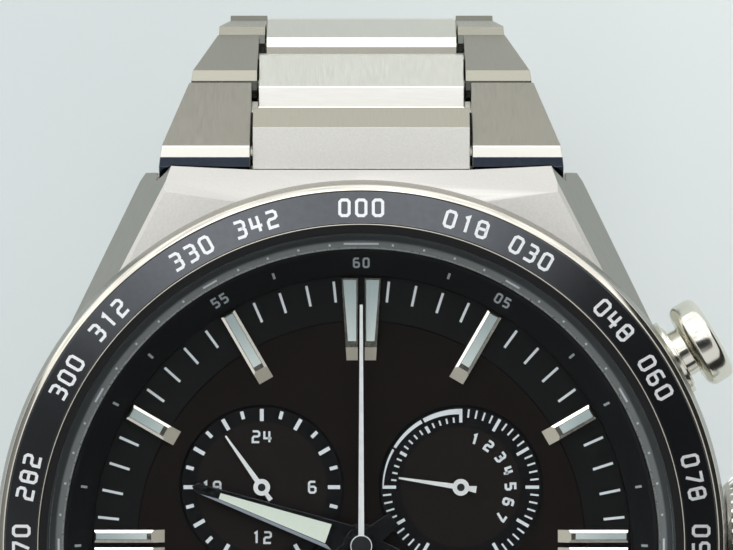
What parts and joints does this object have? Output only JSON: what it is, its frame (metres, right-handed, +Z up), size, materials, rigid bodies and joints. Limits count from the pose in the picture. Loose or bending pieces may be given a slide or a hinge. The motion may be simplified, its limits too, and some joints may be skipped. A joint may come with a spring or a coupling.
{
  "type": "chronograph wristwatch",
  "caption": "Steel chronograph wristwatch with numbered bezel, sunk subdials, pushers, crown and a closed link bracelet with a folding clasp.",
  "frame": {"origin": "on the dial axis, in the outer face of the clasp cover that the watch rests on", "axes": "+Z up along the dial axis, out of the glass; +Y towards 12 o'clock; +X towards the crown"},
  "size_m": [0.0458, 0.0628, 0.0449],
  "materials": {
    "case_steel": "brushed and bead-blasted matte, polished bevels",
    "bezel_steel": "mirror polished",
    "insert_black": "glossy black with white plain numbers",
    "sapphire": "clear, polished flat",
    "seal_rubber": "matte black",
    "scale_silver": "satin silver with fine printed dots",
    "flange_black": "satin black with small grey figures",
    "dial_brown": "dark brown-black, fine circular grain in the subdials",
    "marker_steel": "polished",
    "lume": "pale luminous paint",
    "solar_dark": "dark purple-brown",
    "date_white": "white with printed plain numbers",
    "spacer_plastic": "moulded",
    "plate_nickel": "nickel-plated brass",
    "board_green": "solder-masked board",
    "cell_steel": "bright pressed steel",
    "coil_copper": "enamelled copper wire",
    "ferrite": "dark ferrite with wound wire",
    "hand_dark": "dark polished with pale filling",
    "hand_steel": "polished",
    "wheel_brass": "machined brass",
    "link_steel": "matte brushed tops, polished bevels",
    "clasp_steel": "brushed",
    "crown_steel": "polished, fluted",
    "pin_steel": "turned"
  },
  "bodies": {
    "case": {"case_middle": "case_steel", "bezel_ring": "bezel_steel", "bezel_insert": "insert_black", "crystal": "sapphire", "crystal_gasket": "seal_rubber", "scale_ring": "scale_silver", "flange_ring": "flange_black", "dial_plate": "dial_brown", "hour_markers": "marker_steel", "marker_lume": "lume", "solar_cell": "solar_dark", "movement_ring": "spacer_plastic", "main_plate": "plate_nickel", "train_bridge": "plate_nickel", "circuit_board": "board_green", "power_cell": "cell_steel", "motor_coils": "coil_copper", "antenna": "ferrite", "case_back": "case_steel", "case_back_gasket": "seal_rubber", "end_link_12": "link_steel", "end_link_6": "link_steel", "lug_pins": "pin_steel", "crown_tube": "pin_steel", "pusher_tubes": "crown_steel", "tube_seals": "seal_rubber", "pusher_springs": "pin_steel"},
    "minute": {"minute_hand": "hand_dark", "minute_wheel": "wheel_brass"},
    "hour": {"hour_hand": "hand_dark", "hour_wheel": "wheel_brass"},
    "chrono": {"chrono_hand": "hand_steel"},
    "day": {"day_hand": "hand_steel"},
    "function": {"function_hand": "hand_steel"},
    "counter": {"counter_hand": "hand_steel"},
    "date": {"date_ring": "date_white"},
    "setting": {"setting_lever": "pin_steel"},
    "crown": {"crown": "crown_steel", "crown_stem": "pin_steel"},
    "pusher_2": {"pusher_2": "crown_steel"},
    "pusher_4": {"pusher_4": "crown_steel"},
    "inner_blade": {"clasp_inner_blade": "clasp_steel"},
    "middle_blade": {"clasp_middle_blade": "clasp_steel"},
    "cover": {"clasp_cover": "clasp_steel"},
    "button_left": {"clasp_button_left": "crown_steel"},
    "button_right": {"clasp_button_right": "crown_steel"},
    "link_12_1": {"link_12_1": "link_steel"},
    "link_12_2": {"link_12_2": "link_steel"},
    "link_12_3": {"link_12_3": "link_steel"},
    "link_12_4": {"link_12_4": "link_steel"},
    "link_12_5": {"link_12_5": "link_steel"},
    "link_12_6": {"link_12_6": "link_steel"},
    "link_12_7": {"link_12_7": "link_steel"},
    "link_6_1": {"link_6_1": "link_steel"},
    "link_6_2": {"link_6_2": "link_steel"},
    "link_6_3": {"link_6_3": "link_steel"},
    "link_6_4": {"link_6_4": "link_steel"},
    "link_6_5": {"link_6_5": "link_steel"},
    "link_6_6": {"link_6_6": "link_steel"},
    "link_6_7": {"link_6_7": "link_steel"}
  },
  "joints": [
    {"name": "bend_12_1", "type": "hinge", "parent": "case", "child": "link_12_1", "pos_m": [0, 0.0224, 0.03908], "axis": [1, 0, 0], "range_deg": [0, 40]},
    {"name": "bend_12_2", "type": "hinge", "parent": "link_12_1", "child": "link_12_2", "pos_m": [0, 0.02639, 0.03433], "axis": [1, 0, 0], "range_deg": [0, 30]},
    {"name": "bend_12_3", "type": "hinge", "parent": "link_12_2", "child": "link_12_3", "pos_m": [0, 0.02881, 0.02862], "axis": [1, 0, 0], "range_deg": [0, 30]},
    {"name": "bend_12_4", "type": "hinge", "parent": "link_12_3", "child": "link_12_4", "pos_m": [0, 0.02946, 0.02246], "axis": [1, 0, 0], "range_deg": [0, 30]},
    {"name": "bend_12_5", "type": "hinge", "parent": "link_12_4", "child": "link_12_5", "pos_m": [0, 0.02827, 0.01637], "axis": [1, 0, 0], "range_deg": [0, 30]},
    {"name": "bend_12_6", "type": "hinge", "parent": "link_12_5", "child": "link_12_6", "pos_m": [0, 0.02536, 0.01089], "axis": [1, 0, 0], "range_deg": [0, 30]},
    {"name": "bend_12_7", "type": "hinge", "parent": "link_12_6", "child": "link_12_7", "pos_m": [0, 0.02098, 0.00651], "axis": [1, 0, 0], "range_deg": [0, 30]},
    {"name": "bend_6_1", "type": "hinge", "parent": "case", "child": "link_6_1", "pos_m": [0, -0.0224, 0.03908], "axis": [-1, 0, 0], "range_deg": [0, 40]},
    {"name": "bend_6_2", "type": "hinge", "parent": "link_6_1", "child": "link_6_2", "pos_m": [0, -0.02639, 0.03433], "axis": [-1, 0, 0], "range_deg": [0, 30]},
    {"name": "bend_6_3", "type": "hinge", "parent": "link_6_2", "child": "link_6_3", "pos_m": [0, -0.02881, 0.02862], "axis": [-1, 0, 0], "range_deg": [0, 30]},
    {"name": "bend_6_4", "type": "hinge", "parent": "link_6_3", "child": "link_6_4", "pos_m": [0, -0.02946, 0.02246], "axis": [-1, 0, 0], "range_deg": [0, 30]},
    {"name": "bend_6_5", "type": "hinge", "parent": "link_6_4", "child": "link_6_5", "pos_m": [0, -0.02827, 0.01637], "axis": [-1, 0, 0], "range_deg": [0, 30]},
    {"name": "bend_6_6", "type": "hinge", "parent": "link_6_5", "child": "link_6_6", "pos_m": [0, -0.02536, 0.01089], "axis": [-1, 0, 0], "range_deg": [0, 30]},
    {"name": "bend_6_7", "type": "hinge", "parent": "link_6_6", "child": "link_6_7", "pos_m": [0, -0.02098, 0.00651], "axis": [-1, 0, 0], "range_deg": [0, 30]},
    {"name": "clasp_turn", "type": "hinge", "parent": "link_6_7", "child": "inner_blade", "pos_m": [0, -0.0155, 0.0036], "axis": [-1, 0, 0], "range_deg": [0, 45]},
    {"name": "blade_unfold", "type": "hinge", "parent": "inner_blade", "child": "middle_blade", "pos_m": [0, 0.0121, 0.00285], "axis": [1, 0, 0], "range_deg": [0, 120]},
    {"name": "cover_unfold", "type": "hinge", "parent": "middle_blade", "child": "cover", "pos_m": [0, -0.0127, 0.002], "axis": [1, 0, 0], "range_deg": [-120, 0]},
    {"name": "press_right", "type": "slide", "parent": "cover", "child": "button_right", "axis": [-1, 0, 0], "range_m": [0, 0.0006], "stiffness_N_per_m": 120},
    {"name": "press_left", "type": "slide", "parent": "cover", "child": "button_left", "axis": [1, 0, 0], "range_m": [0, 0.0006], "stiffness_N_per_m": 120},
    {"name": "push_2", "type": "slide", "parent": "case", "child": "pusher_2", "axis": [-0.8616, -0.5075, 0], "range_m": [0, 0.00065], "stiffness_N_per_m": 300, "deforming": ["pusher_springs"]},
    {"name": "push_4", "type": "slide", "parent": "case", "child": "pusher_4", "axis": [-0.8616, 0.5075, 0], "range_m": [0, 0.00065], "stiffness_N_per_m": 300, "deforming": ["pusher_springs"]},
    {"name": "crown_pull", "type": "slide", "parent": "case", "child": "setting", "axis": [1, 0, 0], "range_m": [0, 0.0012]},
    {"name": "crown_turn", "type": "hinge", "parent": "setting", "child": "crown", "pos_m": [0.02, 0, 0.03838], "axis": [1, 0, 0], "continuous": true},
    {"name": "minute_turn", "type": "hinge", "parent": "case", "child": "minute", "pos_m": [0, 0, 0.04048], "axis": [0, 0, -1], "continuous": true},
    {"name": "hour_turn", "type": "hinge", "parent": "case", "child": "hour", "pos_m": [0, 0, 0.04048], "axis": [0, 0, -1], "continuous": true},
    {"name": "chrono_turn", "type": "hinge", "parent": "case", "child": "chrono", "pos_m": [0, 0, 0.04048], "axis": [0, 0, -1], "continuous": true},
    {"name": "date_turn", "type": "hinge", "parent": "case", "child": "date", "pos_m": [0, 0, 0.04048], "axis": [0, 0, -1], "continuous": true},
    {"name": "day_turn", "type": "hinge", "parent": "case", "child": "day", "pos_m": [-0.00572, 0.0033, 0.04048], "axis": [0, 0, -1], "continuous": true},
    {"name": "function_turn", "type": "hinge", "parent": "case", "child": "function", "pos_m": [0.00572, 0.0033, 0.04048], "axis": [0, 0, -1], "continuous": true},
    {"name": "counter_turn", "type": "hinge", "parent": "case", "child": "counter", "pos_m": [0, -0.0066, 0.04048], "axis": [0, 0, -1], "continuous": true}
  ],
  "couplings": [
    {"joint": "hour_turn", "follows": "minute_turn", "ratio": 0.083333},
    {"joint": "day_turn", "follows": "minute_turn", "ratio": 0.041667},
    {"joint": "cover_unfold", "follows": "blade_unfold", "ratio": -1}
  ]
}
